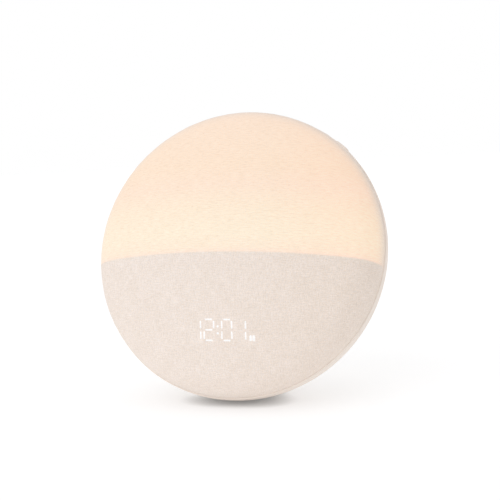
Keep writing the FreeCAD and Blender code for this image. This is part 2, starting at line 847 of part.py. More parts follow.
def make_basket():
    """The speaker's pressed frame: a flange, a tapered wall with windows and a floor for the motor."""
    basket = turned([
        (grille_opening_radius - seat_clearance, speaker_seat),
        (speaker_flange_radius, speaker_seat),
        (speaker_flange_radius, basket_top),
        (basket_mouth_radius + speaker_sheet, basket_top),
        (basket_throat_radius + speaker_sheet, basket_floor),
        (basket_throat_radius + speaker_sheet, motor_seat),
        (basket_bore_radius, motor_seat),
        (basket_bore_radius, basket_floor),
        (basket_throat_radius, basket_floor),
        (basket_mouth_radius, basket_top),
        (grille_opening_radius - seat_clearance, basket_top),
    ])
    cuts = [screw_hole(speaker_seat, basket_top, x, y) for x, y in speaker_screw_places()]
    for i in range(speaker_screw_count):
        window = box(speaker_flange_radius, basket_window_width, basket_top + basket_window_margin,
                     basket_floor - basket_window_margin, basket_bore_radius + speaker_flange_radius / 2.0, 0)
        window.rotate(CENTRE, AXIS, 360.0 * i / speaker_screw_count)
        cuts.append(window)
    return one(basket.cut(Part.makeCompound(cuts)))


def make_motor():
    """The speaker's front pole plate, ring magnet and yoke with its centre pole."""
    plate = ring(coil_radius + coil_gap, pole_plate_radius, motor_seat, magnet_seat)
    magnet = ring(magnet_bore_radius, magnet_radius, magnet_seat, yoke_seat)
    yoke = cylinder(pole_plate_radius, yoke_seat, yoke_seat + pole_plate_thickness)
    yoke = yoke.fuse(cylinder(pole_radius, motor_seat, yoke_seat))
    return Part.makeCompound([plate, magnet, one(yoke)])


def make_surround():
    """The half-round roll that carries the cone's edge."""
    low = speaker_seat + surround_lift
    inner = cone_radius + surround_gap
    middle = inner + surround_skin + surround_roll
    outer = 2.0 * middle - inner
    return revolve([
        line((inner, low), (middle - surround_roll, low)),
        arc((middle, low), surround_roll, 180, 0),
        line((middle + surround_roll, low), (outer, low)),
        arc((middle, low), surround_roll + surround_skin, 0, 180),
    ])


def make_cone():
    """The paper cone with its domed dust cap and the voice coil that runs in the motor's gap."""
    mouth = speaker_seat + cone_lift
    neck = mouth + cone_depth
    coil_inner = coil_radius - coil_wall
    cap_top = neck - dust_cap_height
    return turned([
        (cone_radius, mouth),
        (cone_radius, mouth + cone_wall),
        (coil_radius, neck + cone_wall),
        (coil_radius, neck + coil_length),
        (coil_inner, neck + coil_length),
        (coil_inner, neck + cone_wall / 2.0),
        (dust_cap_radius, cap_top + cone_wall),
        (0, cap_top),
        (0, cap_top - cone_wall),
        (dust_cap_radius, cap_top),
        (coil_radius, neck - cone_wall / 2.0),
    ])


def make_gasket():
    """The ring of foam between the speaker's flange and the back wall."""
    outer = speaker_screw_circle - boss_radius - seat_clearance
    low = back_height(outer, housing_wall) + seat_clearance
    return ring(grille_opening_radius + slide_clearance, outer, low, speaker_seat)


def make_speaker_screws():
    """The speaker's screws, cut short so that their tips stay inside the back wall."""
    inside = casing_solid(tip_wall + seat_clearance)
    screws = [one(screw(x, y, basket_top).common(inside)) for x, y in speaker_screw_places()]
    return Part.makeCompound(screws)


def make_grille():
    """The perforated disc let into the back: rings of round holes, six more in each ring."""
    disc = casing_solid(0).cut(casing_solid(grille_thickness))
    disc = disc.common(cylinder(grille_radius, -face_radius, -lip_drop))
    places = [(0.0, 0.0)]
    for k in range(1, grille_rings + 1):
        places += [polar(grille_ring_pitch * k, 60.0 * i / k) for i in range(6 * k)]
    holes = [cylinder(grille_hole_radius, -face_radius, -lip_drop, x, y) for x, y in places]
    return one(disc.cut(Part.makeCompound(holes)))


def foot_screw_places():
    """Two upright screws that join the foot to the housing, in the standing clock's frame."""
    return [(-foot_screw_offset, -foot_screw_forward), (foot_screw_offset, -foot_screw_forward)]


def foot_screw_seat(x, y):
    """Height of the flat seat inside the housing for a foot screw."""
    wall = moved(casing_solid(housing_wall), stand_matrix)
    probe = Part.makeLine(Vector(x, y, 0), Vector(x, y, face_height))
    low = min(vertex.Z for vertex in wall.common(probe).Vertexes)
    return low + foot_screw_lift


def foot_screw(x, y, seat):
    """A longer screw with its head on the seat and its tip in the foot."""
    head = cylinder(screw_head_radius, seat, seat + screw_head_height, x, y)
    shank = cylinder(screw_radius, seat - foot_screw_length, seat, x, y)
    return one(head.fuse(shank))


def make_foot():
    """The round foot screwed to the housing's underside, its rubber pad and its screws."""
    hull = moved(casing_solid(0), stand_matrix)
    low = pad_stand_proud
    round_low = low + foot_base_round
    round_high = foot_height - foot_edge_round
    base = revolve([
        line((0, low), (foot_radius - foot_base_round, low)),
        arc((foot_radius - foot_base_round, round_low), foot_base_round, -90, 0),
        line((foot_radius, round_low), (foot_radius, round_high)),
        arc((foot_radius - foot_edge_round, round_high), foot_edge_round, 0, 90),
        line((foot_radius - foot_edge_round, foot_height), (0, foot_height)),
        line((0, foot_height), (0, low)),
    ])
    base = base.cut(hull)
    base = base.cut(cylinder(pad_radius + seat_clearance, low - overcut, pad_thickness + seat_clearance))
    base = max(base.Solids, key=lambda solid: solid.Volume)
    pad = cylinder(pad_radius, 0, pad_thickness)
    rim = [edge for edge in pad.Edges if abs(edge.CenterOfMass.z) < 0.01]
    pad = pad.makeChamfer(pad_thickness / 3.0, rim).cut(hull)
    screws = []
    for x, y in foot_screw_places():
        seat = foot_screw_seat(x, y)
        base = base.cut(cylinder(screw_radius, seat - foot_screw_length, face_height, x, y))
        screws.append(foot_screw(x, y, seat))
    return one(base), one(pad), Part.makeCompound(screws)


panel_screw_seat = back_height(panel_screw_circle, panel_screw_sink)


def panel_screw_places():
    """The screws that hold the back panel to the housing's ledge."""
    return [polar(panel_screw_circle, angle) for angle in panel_screw_angles]


def make_housing():
    """The rear shell: lip, ribs, screw bosses, button apertures and the ledge for the back panel."""
    outer = casing_solid(0, -lip_step)
    rim = [edge for edge in outer.Edges if abs(edge.CenterOfMass.z + lip_step) < 0.01]
    outer = outer.makeFillet(lip_round, rim)
    keep = casing_solid(tip_wall)
    shell = outer.cut(casing_solid(housing_wall, overcut))
    shell = shell.cut(cylinder(face_radius + rebate_clearance, -rebate_depth, overcut))

    inside = []
    rib_zone = keep.cut(casing_solid(housing_wall + rib_height))
    rib_zone = rib_zone.cut(cylinder(shoulder_centre, -face_radius, face_radius))
    rib_zone = rib_zone.common(cylinder(lip_radius, -face_radius, -2.0 * button_depth))
    for i in range(rib_count):
        blade = box(2.0 * face_radius, rib_thickness, -face_radius, face_radius, face_radius, 0)
        blade.rotate(CENTRE, AXIS, 360.0 * (i + 0.5) / rib_count)
        inside.append(rib_zone.common(blade))
    for angle in chassis_boss_angles:
        x, y = polar(chassis_boss_circle, angle)
        inside.append(cylinder(chassis_boss_radius, -face_radius, chassis_floor, x, y).common(keep))
    ledge = keep.cut(casing_solid(housing_wall + seat_clearance + ledge_thickness))
    inside.append(ledge.common(ring(panel_radius - ledge_width, panel_radius + ledge_width,
                                    -face_radius, -lip_drop)))
    for x, y in panel_screw_places():
        boss_top = panel_screw_seat + screw_length + ledge_thickness / 2.0
        inside.append(cylinder(boss_radius, -face_radius, boss_top, x, y).common(keep))
    for _, angle, buttons in rim_groups:
        frame = rim_frame(angle)
        for side in (-1, 1):
            post = cylinder(boss_radius, switch_board_seat, lip_radius, side * group_screw_reach(buttons))
            inside.append(moved(post, frame).common(keep))
    for x, y in foot_screw_places():
        seat = foot_screw_seat(x, y)
        boss = cylinder(screw_head_radius + foot_screw_wall, 0, seat, x, y)
        inside.append(moved(boss, clock_matrix).common(keep))
    for item in inside:
        shell = shell.fuse(item)

    cuts = []
    for angle in chassis_boss_angles:
        x, y = polar(chassis_boss_circle, angle)
        cuts.append(cylinder(screw_radius, chassis_floor - 2.0 * screw_length, chassis_floor, x, y))
    panel_room = cylinder(panel_radius + panel_clearance, -face_radius, -lip_drop)
    cuts.append(panel_room.cut(casing_solid(housing_wall + seat_clearance)))
    for x, y in panel_screw_places():
        cuts.append(cylinder(screw_radius, -face_radius, panel_screw_seat + screw_length, x, y))
    for _, angle, buttons in rim_groups:
        frame = rim_frame(angle)
        for side in (-1, 1):
            pilot = cylinder(screw_radius, switch_board_seat, switch_board_seat + screw_length,
                             side * group_screw_reach(buttons))
            cuts.append(moved(pilot, frame))
        for _, x, length, _ in buttons:
            aperture = stadium(length + 2.0 * slide_clearance, button_width + 2.0 * slide_clearance,
                               switch_board_seat, 1.2 * lip_radius, x)
            cuts.append(moved(aperture, frame))
    for x, y in foot_screw_places():
        cuts.append(moved(screw_hole(0, face_height / 2.0, x, y), clock_matrix))
    for cut in cuts:
        shell = shell.cut(cut)
    return one(shell)


def make_back_panel():
    """The back panel, with bosses for the speaker and both fittings, and the holes they need."""
    panel = casing_solid(0).cut(casing_solid(housing_wall))
    panel = panel.common(cylinder(panel_radius, -face_radius, -lip_drop))
    rims = [edge for edge in panel.Edges if abs(edge.Length - 2.0 * math.pi * panel_radius) < 1.0]
    outer_rim = min(rims, key=lambda edge: edge.CenterOfMass.z)
    panel = panel.makeFillet(panel_edge_round, [outer_rim])
    keep = casing_solid(tip_wall)
    pocket_top = wall_inside + jack_pocket_depth
    pocket_outer = jack_pocket_radius + jack_pocket_wall
    inside = [cylinder(pocket_outer, -face_radius, pocket_top, fitting_offset, fitting_height)]
    cuts = [cylinder(jack_pocket_radius, -face_radius, pocket_top, fitting_offset, fitting_height)]
    for x, y in speaker_screw_places():
        inside.append(cylinder(boss_radius, -face_radius, speaker_seat, x, y))
        pilot_floor = speaker_seat - speaker_standoff - tip_wall
        cuts.append(cylinder(screw_radius, pilot_floor, speaker_seat, x, y))
    for side, board_low in ((1, jack_board_low), (-1, slider_board_low)):
        for end in (-1, 1):
            x, y = side * fitting_offset, fitting_height + end * fitting_screw_offset
            inside.append(cylinder(boss_radius, -face_radius, board_low, x, y))
            cuts.append(cylinder(screw_radius, board_low - screw_length, board_low, x, y))
    for item in inside:
        panel = panel.fuse(item.common(keep))

    for x, y in panel_screw_places():
        cuts.append(screw_hole(-face_radius, -lip_drop, x, y))
        cuts.append(cylinder(screw_head_radius + hole_clearance, -face_radius, panel_screw_seat, x, y))
    cuts.append(cylinder(grille_opening_radius, -face_radius, speaker_seat))
    rebate = cylinder(grille_radius + seat_clearance, -face_radius, -lip_drop)
    cuts.append(rebate.cut(casing_solid(grille_thickness + seat_clearance)))
    recess_top = wall_outside + slider_recess[2]
    cuts.append(stadium(slider_recess[1], slider_recess[0], -face_radius, recess_top,
                        -fitting_offset, fitting_height, upright=True))
    slot_length = slider_nub[1] + slider_travel + 2.0 * slide_clearance
    slot_width = slider_nub[0] + 2.0 * slide_clearance
    slot_top = wall_inside + slider_recess[2] + overcut
    cuts.append(stadium(slot_length, slot_width, -face_radius, slot_top,
                        -fitting_offset, fitting_height, upright=True))
    for cut in cuts:
        panel = panel.cut(cut)
    return one(panel)


def lead(points, radius=lead_radius, bend=lead_bend):
    """A round lead along straight runs joined by tangent arcs."""
    corners = [Vector(*point) for point in points]
    edges = []
    start = corners[0]
    for before, corner, after in zip(corners, corners[1:], corners[2:]):
        back = (before - corner).normalize()
        ahead = (after - corner).normalize()
        half_turn = (math.pi - back.getAngle(ahead)) / 2.0
        room = 0.45 * min((before - corner).Length, (after - corner).Length)
        size = min(bend, room / math.tan(half_turn))
        reach = size * math.tan(half_turn)
        entry = corner + back * reach
        leave = corner + ahead * reach
        inward = (back + ahead).normalize()
        middle = corner + inward * (size / math.cos(half_turn) - size)
        edges.append(Part.LineSegment(start, entry).toShape())
        edges.append(Part.Arc(entry, middle, leave).toShape())
        start = leave
    edges.append(Part.LineSegment(start, corners[-1]).toShape())
    path = Part.Wire(edges)
    heading = corners[1] - corners[0]
    section = Part.Wire(Part.makeCircle(radius, corners[0], heading))
    return path.makePipeShell([section], True, False)


def make_leads():
    """The internal wiring, each lead from its connector on the main board to the part it serves."""
    tall = main_board_floor - connector_depth
    plug_x, plug_y = speaker_connector[0], main_board_height + speaker_connector[1]
    speaker = lead([
        (plug_x, plug_y, tall),
        (plug_x, plug_y, tall - 6.0),
        (plug_x + 10.0, -22.0, tall - 10.0),
        (20.5, -14.0, tall - 12.0),
        (16.5, -8.0, tall - 12.0),
    ])
    lamp_x, lamp_y = led_lead_place
    lamps = lead([(lamp_x, lamp_y, main_board_top), (lamp_x, lamp_y, led_board_top)])
    power_x, power_y = power_connector[0], fitting_height - power_lead_drop
    power = lead([
        (power_x, power_y, tall),
        (power_x, power_y, tall - 2.0),
        (fitting_offset, power_y, tall - 2.0),
        (fitting_offset, power_y, jack_board_low + board_thickness),
    ])
    return speaker, lamps, power


def make_ribbon():
    """The flat cable from the display board, through the chassis plate, to the main board."""
    x = display_shift - ribbon_width / 2.0
    y = ribbon_slot - ribbon_thickness / 2.0
    low = display_back - board_thickness
    display_edge = display_height - display_half_height - display_flange_extra_height
    board_edge = main_board_height - main_board_size[1] / 2.0
    thick = ribbon_thickness
    drop = Part.makeBox(ribbon_width, thick, low - main_board_top, Vector(x, y, main_board_top))
    top = Part.makeBox(ribbon_width, display_edge + ribbon_lap - y, thick, Vector(x, y, low - thick))
    foot = Part.makeBox(ribbon_width, board_edge + ribbon_lap - y, thick, Vector(x, y, main_board_top))
    return one(drop.fuse(top).fuse(foot))


diffuser, lower = make_shells()
export("fabric_cover", make_cloth())
export("diffuser_shell", diffuser)
export("lower_shell", lower)
export("horizon_baffle", make_baffle())
export("hem_hoop", make_hoop())
export("chassis_plate", make_chassis())

lamp_board, lamp_packages, tray = make_light_engine()
export("lamp_board", lamp_board)
export("lamp_packages", lamp_packages)
export("reflector_tray", tray)
lamp_screws = [screw(x, y, led_board_top) for x, y in led_board_screw_places()]
export("lamp_board_screws", Part.makeCompound(lamp_screws))

block, lit, unlit, display_board, sources = make_display()
export("display_block", block)
export("lit_segments", lit)
export("unlit_segments", unlit)
export("display_board", display_board)
export("display_sources", sources)
display_seat = display_back + display_flange_thickness
display_screws = [screw(x, y, display_seat) for x, y in display_screw_places()]
export("display_screws", Part.makeCompound(display_screws))

main_board, board_parts = make_main_board()
export("main_board", main_board)
export("board_components", board_parts)
board_screws = [screw(x, y, main_board_floor, points_up=True) for x, y in main_board_screw_places()]
export("board_screws", Part.makeCompound(board_screws))
chassis_screws = [screw(*polar(chassis_boss_circle, angle), chassis_top) for angle in chassis_boss_angles]
export("chassis_screws", Part.makeCompound(chassis_screws))

export("rear_housing", make_housing())
export("back_panel", make_back_panel())
panel_screws = [screw(x, y, panel_screw_seat, points_up=True) for x, y in panel_screw_places()]
export("panel_screws", Part.makeCompound(panel_screws))
export("speaker_basket", make_basket())
export("speaker_magnet", make_motor())
export("speaker_surround", make_surround())
export("speaker_cone", make_cone())
export("speaker_gasket", make_gasket())
export("speaker_screws", make_speaker_screws())
export("speaker_grille", make_grille())

foot_base, foot_pad, foot_screws = make_foot()
export("foot_base", foot_base, None)
export("foot_pad", foot_pad, None)
export("foot_screws", foot_screws, None)

jack, contacts = make_jack()
export("power_jack", jack)
export("jack_contacts", contacts)
knob, switch_body = make_slider()
export("alarm_knob", knob)
export("alarm_switch", switch_body)
jack_board, jack_screws = fitting_board(1, jack_board_low)
switch_board, slide_screws = fitting_board(-1, slider_board_low)
export("jack_board", jack_board)
export("alarm_switch_board", switch_board)
export("back_board_screws", Part.makeCompound(jack_screws + slide_screws))

rim_screws = []
tact_switches = []
for name, angle, buttons in rim_groups:
    board, screws, switches = make_rim_group(angle, buttons)
    export(name + "_switch_board", board)
    rim_screws += screws
    tact_switches += switches
    for button, x, length, proud in buttons:
        cap, plunger = make_button(x, length, proud, group_reach(buttons), rim_frame(angle))
        export(button + "_button", cap)
        export(button + "_plunger", plunger)
export("rim_board_screws", Part.makeCompound(rim_screws))
export("tact_switches", Part.makeCompound(tact_switches))

speaker_lead, lamp_lead, power_lead = make_leads()
export("speaker_lead", speaker_lead)
export("lamp_lead", lamp_lead)
export("power_lead", power_lead)
export("display_ribbon", make_ribbon())
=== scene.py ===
"""Studio model of a round sunrise alarm clock, made round its packed construction model."""

import math

import bpy
import numpy as np
from mathutils import Matrix, Vector


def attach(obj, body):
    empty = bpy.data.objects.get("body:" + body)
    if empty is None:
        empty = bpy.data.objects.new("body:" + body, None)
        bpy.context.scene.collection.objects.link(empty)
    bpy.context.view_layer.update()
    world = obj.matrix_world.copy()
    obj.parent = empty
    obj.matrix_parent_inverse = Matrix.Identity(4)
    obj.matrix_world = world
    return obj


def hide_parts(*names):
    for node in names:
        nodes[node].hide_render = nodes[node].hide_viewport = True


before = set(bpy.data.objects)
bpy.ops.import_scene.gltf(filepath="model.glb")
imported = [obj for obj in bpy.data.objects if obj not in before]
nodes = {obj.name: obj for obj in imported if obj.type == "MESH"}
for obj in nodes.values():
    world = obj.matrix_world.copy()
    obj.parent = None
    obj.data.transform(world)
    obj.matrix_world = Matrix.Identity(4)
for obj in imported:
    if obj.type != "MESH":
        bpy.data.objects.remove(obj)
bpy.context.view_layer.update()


# Camera: a long lens a little above the clock and to its right, 750 mm from the face.
# It aims just beside the centre of the face's rim circle, with the slight roll of the photograph.
rim_centre = Vector((0.0, -0.010, 0.0988))
camera_round = math.radians(16.91)
camera_above = math.radians(6.0)
camera_roll = math.radians(-2.625)
camera_distance = 0.750
aim_right = 0.00697
aim_up = 0.00130
forward = Vector((-math.sin(camera_round) * math.cos(camera_above),
                  math.cos(camera_round) * math.cos(camera_above), -math.sin(camera_above)))
level_right = Vector((math.cos(camera_round), math.sin(camera_round), 0.0))
level_up = level_right.cross(forward)
picture_right = math.cos(camera_roll) * level_right + math.sin(camera_roll) * level_up
picture_up = math.cos(camera_roll) * level_up - math.sin(camera_roll) * level_right
camera_place = rim_centre + aim_right * picture_right + aim_up * picture_up
camera_place -= camera_distance * forward

lens = bpy.data.cameras.new("studio_camera")
lens.sensor_width = 36.0
lens.lens = 79.0
camera = bpy.data.objects.new("studio_camera", lens)
bpy.context.scene.collection.objects.link(camera)
camera.matrix_world = Matrix((
    (picture_right.x, picture_up.x, -forward.x, camera_place.x),
    (picture_right.y, picture_up.y, -forward.y, camera_place.y),
    (picture_right.z, picture_up.z, -forward.z, camera_place.z),
    (0.0, 0.0, 0.0, 1.0),
))
bpy.context.scene.camera = camera
bpy.context.scene.view_settings.view_transform = "Standard"


# Studio: an even white room, one broad soft lamp in front on the left, and a light table as the
# floor. The camera, gloss and glass see plain white walls, whatever light these give the clock.
white = (1.0, 1.0, 1.0)
ceiling_levels = (0.46, 0.96)
table_paint = (0.50, 0.50, 0.505)
# Painted shadow: the light table's glow is dimmed where the clock closes in the space above it,
# widely, and deeply close under it behind its front edge.
table_shadow_levels = (0.44, 0.56)
table_shadow_reach = 0.080
contact_shadow_reach = 0.012
contact_shadow_start = (-0.054, -0.044)
contact_shadow_level = 0.25


def feed(tree, node, values):
    """Link a node's inputs to sockets or set them to values; a colour is given without alpha."""
    for key, value in values.items():
        socket = node.inputs[key]
        if isinstance(value, bpy.types.NodeSocket):
            tree.links.new(value, socket)
        elif socket.type == "RGBA":
            socket.default_value = (*value, 1.0)
        else:
            socket.default_value = value
    return node


def add(tree, kind, values=None, **settings):
    """A new shader node with its settings made and its inputs fed."""
    made = tree.nodes.new("ShaderNode" + kind)
    for name, value in settings.items():
        setattr(made, name, value)
    return feed(tree, made, values or {})


def math_of(tree, operation, first, second=0.0, third=0.0):
    """The result of one Math node."""
    return add(tree, "Math", {0: first, 1: second, 2: third}, operation=operation).outputs[0]


def steps(tree, value, low, high, bottom=0.0, top=1.0, kind="SMOOTHSTEP"):
    """The value eased from bottom at low to top at high."""
    return add(tree, "MapRange", {"Value": value, "From Min": low, "From Max": high,
                                  "To Min": bottom, "To Max": top},
               interpolation_type=kind).outputs[0]


def material_with(name, finish):
    """A new node material, whose surface the finish function makes in the material's tree."""
    made = bpy.data.materials.new(name)
    made.use_nodes = True
    made.node_tree.nodes.clear()
    add(made.node_tree, "OutputMaterial", {"Surface": finish(made.node_tree)})
    return made


def seen_directly(tree):
    """A mask that is 1 for camera, gloss and glass rays and 0 for the rays that light things."""
    path = add(tree, "LightPath")
    camera_or_gloss = math_of(tree, "MAXIMUM", path.outputs["Is Camera Ray"],
                              path.outputs["Is Glossy Ray"])
    return math_of(tree, "MAXIMUM", camera_or_gloss, path.outputs["Is Transmission Ray"])


def shadow_openness(tree, reach):
    """How free of other things the space within reach of the surface is, towards the left; the floor's
    painted shadow is made from it.
    """
    return add(tree, "AmbientOcclusion", {"Distance": reach, "Normal": (-0.62, -0.30, 0.72)},
               samples=12).outputs["AO"]


def table_finish(tree):
    """Frosted glass lit from below, no brighter than paper, with a painted shadow: its glow is dimmed
    close under the clock.
    """
    wide = steps(tree, shadow_openness(tree, table_shadow_reach), 0.0, 0.8, *table_shadow_levels, "LINEAR")
    spot = add(tree, "SeparateXYZ", {0: add(tree, "TexCoord").outputs["Object"]})
    behind = steps(tree, spot.outputs["Y"], *contact_shadow_start, 1.0, contact_shadow_level, "LINEAR")
    close = steps(tree, shadow_openness(tree, contact_shadow_reach), 0.0, 0.6, behind, 1.0, "LINEAR")
    return add(tree, "BsdfPrincipled", {
        "Base Color": table_paint, "Roughness": 0.9, "Emission Color": white,
        "Emission Strength": math_of(tree, "MULTIPLY", wide, close)}).outputs[0]


room = bpy.data.worlds.new("white_room")
room.use_nodes = True
walls = room.node_tree
walls.nodes.clear()
upward = add(walls, "SeparateXYZ", {0: add(walls, "TexCoord").outputs["Generated"]}).outputs["Z"]
ceiling = steps(walls, upward, 0.0, 1.0, *ceiling_levels, "LINEAR")
room_level = add(walls, "Mix", {0: seen_directly(walls), 2: ceiling, 3: 1.0}).outputs[0]
room_light = add(walls, "Background", {"Color": white, "Strength": room_level}).outputs[0]
add(walls, "OutputWorld", {"Surface": room_light})
bpy.context.scene.world = room

window = bpy.data.lights.new("window_light", "SUN")
window.angle = math.radians(70.0)
window.energy = 0.72
window_object = bpy.data.objects.new("window_light", window)
bpy.context.scene.collection.objects.link(window_object)
window_way = Vector((0.45, 0.76, -0.48))
window_object.matrix_world = window_way.to_track_quat("-Z", "Y").to_matrix().to_4x4()

bpy.ops.object.select_all(action="DESELECT")
bpy.ops.mesh.primitive_circle_add(vertices=96, radius=6.0, fill_type="NGON",
                                  location=(0.0, 0.0, 0.0))
floor = bpy.context.object
floor.name = "floor"
floor.data.materials.append(material_with("light_table", table_finish))


# Linen cover: one round blank of plain-weave linen with slubs, pulled over both shells of the
# dome, its edge turned down behind the casing's lip. The light of the lamps behind the upper half
# and the bars of the display hidden behind the lower half are painted into the threads as glow.
linen_thickness = 0.0009
crown_radius = 0.1935
edge_radius = 0.02885
edge_centre = 0.1 - edge_radius
crown_drop = math.sqrt((crown_radius - edge_radius) ** 2 - edge_centre ** 2)
edge_turn = math.atan2(crown_drop, edge_centre)
crown_run = crown_radius * (math.pi / 2 - edge_turn)
edge_run = edge_radius * edge_turn
fold_run = crown_run + edge_run
hem_run = 0.004
hem_flare = 0.00015
hem_turn = 0.00025
blank_radius = crown_run + edge_run + hem_run
slub_count = 420
slub_limit = 0.00022
slub_fade = 0.006
linen_rings = 98
linen_steps = 360
lean = math.radians(22.0)
face_across = Vector((1.0, 0.0, 0.0))
face_up = Vector((0.0, math.sin(lean), math.cos(lean)))
face_out = Vector((0.0, -math.cos(lean), math.sin(lean)))


def dome_section(run):
    """Radius and height of the dome, and its outward normal, at a length of thread from the middle."""
    if run < crown_run:
        angle = run / crown_radius
        normal = (math.sin(angle), math.cos(angle))
        return crown_radius * normal[0], crown_radius * normal[1] - crown_drop, normal
    if run < crown_run + edge_run:
        angle = edge_turn - (run - crown_run) / edge_radius
        normal = (math.cos(angle), math.sin(angle))
        return edge_centre + edge_radius * normal[0], edge_radius * normal[1], normal
    tucked = run - crown_run - edge_run
    return edge_centre + edge_radius + hem_flare * min(1.0, tucked / hem_turn), -tucked, (1.0, 0.0)


def slub_relief(blank):
    """Height of the thick stretches of yarn at points of the flat blank, in metres."""
    chance = np.random.default_rng(12)
    height = np.zeros(len(blank))
    for slub in range(slub_count):
        middle = chance.uniform(-blank_radius, blank_radius, 2)
        long_way = 0 if chance.random() < 0.62 else 1
        half_length = chance.uniform(0.004, 0.016)
        half_width = chance.uniform(0.0008, 0.0013)
        rise = chance.uniform(0.00004, 0.00013)
        along = (blank[:, long_way] - middle[long_way]) / half_length
        across = (blank[:, 1 - long_way] - middle[1 - long_way]) / half_width
        height += rise * np.exp(-along ** 4 - across ** 2)
    return np.minimum(height, slub_limit)


ring_runs = [fold_run * ring / linen_rings for ring in range(1, linen_rings + 1)]
ring_runs += [fold_run + hem_turn, blank_radius]
flat_points = [(0.0, 0.0)]
for run in ring_runs:
    for step in range(linen_steps):
        turn = 2.0 * math.pi * step / linen_steps
        flat_points.append((run * math.cos(turn), run * math.sin(turn)))
stretched = []
for (x, y), rise in zip(flat_points, slub_relief(np.array(flat_points)).tolist()):
    run = math.hypot(x, y)
    radius, height, normal = dome_section(run)
    way = (x / run, y / run) if run > 0.0 else (1.0, 0.0)
    fade = min(1.0, max(0.0, (fold_run - run) / slub_fade))
    radius += rise * fade * normal[0]
    height += rise * fade * normal[1]
    stretched.append(rim_centre + radius * way[0] * face_across + radius * way[1] * face_up
                     + height * face_out)
faces = [(0, 1 + step, 1 + (step + 1) % linen_steps) for step in range(linen_steps)]
for ring in range(1, len(ring_runs)):
    inner = 1 + (ring - 1) * linen_steps
    outer = inner + linen_steps
    for step in range(linen_steps):
        after = (step + 1) % linen_steps
        faces.append((inner + step, outer + step, outer + after, inner + after))
linen_mesh = bpy.data.meshes.new("linen_cover")
linen_mesh.from_pydata(stretched, [], faces)
blank_map = linen_mesh.uv_layers.new(name="blank")
for loop in linen_mesh.loops:
    x, y = flat_points[loop.vertex_index]
    blank_map.data[loop.index].uv = (0.5 + 0.5 * x / blank_radius, 0.5 + 0.5 * y / blank_radius)
linen = bpy.data.objects.new("linen_cover", linen_mesh)
bpy.context.scene.collection.objects.link(linen)
bpy.ops.object.select_all(action="DESELECT")
linen.select_set(True)
bpy.context.view_layer.objects.active = linen
cloth = linen.modifiers.new("cloth", "SOLIDIFY")
cloth.thickness = linen_thickness
cloth.offset = -1.0
bpy.ops.object.modifier_apply(modifier=cloth.name)
bpy.ops.object.shade_smooth()


def vector_of(tree, operation, *values):
    """The result of one Vector Math node."""
    return add(tree, "VectorMath", dict(enumerate(values)), operation=operation).outputs[0]


def scaled(tree, vector, factor):
    """A vector or colour times a number."""
    return add(tree, "VectorMath", {0: vector, "Scale": factor}, operation="SCALE").outputs[0]


def blend(tree, share, first, second):
    """The first colour turning into the second as the share rises from 0 to 1."""
    return add(tree, "MixRGB", {0: share, 1: first, 2: second}).outputs[0]


def noise(tree, place, scale, detail=2.0, roughness=0.5, stretch=(1.0, 1.0, 1.0),
          shift=(0.0, 0.0, 0.0)):
    """A noise value, its pattern stretched and shifted over the surface."""
    spread = add(tree, "Mapping", {"Vector": place, "Scale": stretch, "Location": shift})
    return add(tree, "TexNoise", {"Vector": spread.outputs[0], "Scale": scale, "Detail": detail,
                                  "Roughness": roughness}).outputs["Fac"]


def balanced(tree, value):
    """A noise value spread out between -1 and 1."""
    return steps(tree, value, 0.3, 0.7, -1.0, 1.0, "LINEAR")


def sum_of(tree, parts):
    """The sum of patterns, each times its own strength."""
    total = 0.0
    for pattern, strength in parts:
        total = math_of(tree, "MULTIPLY_ADD", pattern, strength, total)
    return total


def product_of(tree, colour, parts):
    """A colour multiplied by others in turn."""
    for part in parts:
        colour = vector_of(tree, "MULTIPLY", colour, part)
    return colour


def group_of(name, inputs, outputs):
    """An empty node group with those sockets, and its input and output nodes."""
    made = bpy.data.node_groups.new(name, "ShaderNodeTree")
    for label, kind in inputs:
        made.interface.new_socket(label, in_out="INPUT", socket_type="NodeSocket" + kind)
    for label, kind in outputs:
        made.interface.new_socket(label, in_out="OUTPUT", socket_type="NodeSocket" + kind)
    return made, made.nodes.new("NodeGroupInput"), made.nodes.new("NodeGroupOutput")


def placed(tree, group, values):
    """One use of a node group in a material, with its own values."""
    made = tree.nodes.new("ShaderNodeGroup")
    made.node_tree = group
    return feed(tree, made, values)


light_bar, bar_in, bar_out = group_of(
    "light_bar", [("Place", "Vector"), ("Centre", "Vector"), ("Half", "Vector"),
                  ("Radius", "Float"), ("Softness", "Float")], [("Glow", "Float")])
offset = vector_of(light_bar, "SUBTRACT", bar_in.outputs["Place"], bar_in.outputs["Centre"])
offset = vector_of(light_bar, "MULTIPLY", offset, (1.0, 1.0, 0.0))
offset = vector_of(light_bar, "ABSOLUTE", offset)
offset = vector_of(light_bar, "SUBTRACT", offset, bar_in.outputs["Half"])
offset = vector_of(light_bar, "MAXIMUM", offset, (0.0, 0.0, 0.0))
distance = add(light_bar, "VectorMath", {0: offset}, operation="LENGTH").outputs["Value"]
bar_edge = math_of(light_bar, "ADD", bar_in.outputs["Radius"], bar_in.outputs["Softness"])
bar_core = math_of(light_bar, "SUBTRACT", bar_in.outputs["Radius"], bar_in.outputs["Softness"])
feed(light_bar, bar_out, {"Glow": steps(light_bar, distance, bar_edge, bar_core)})

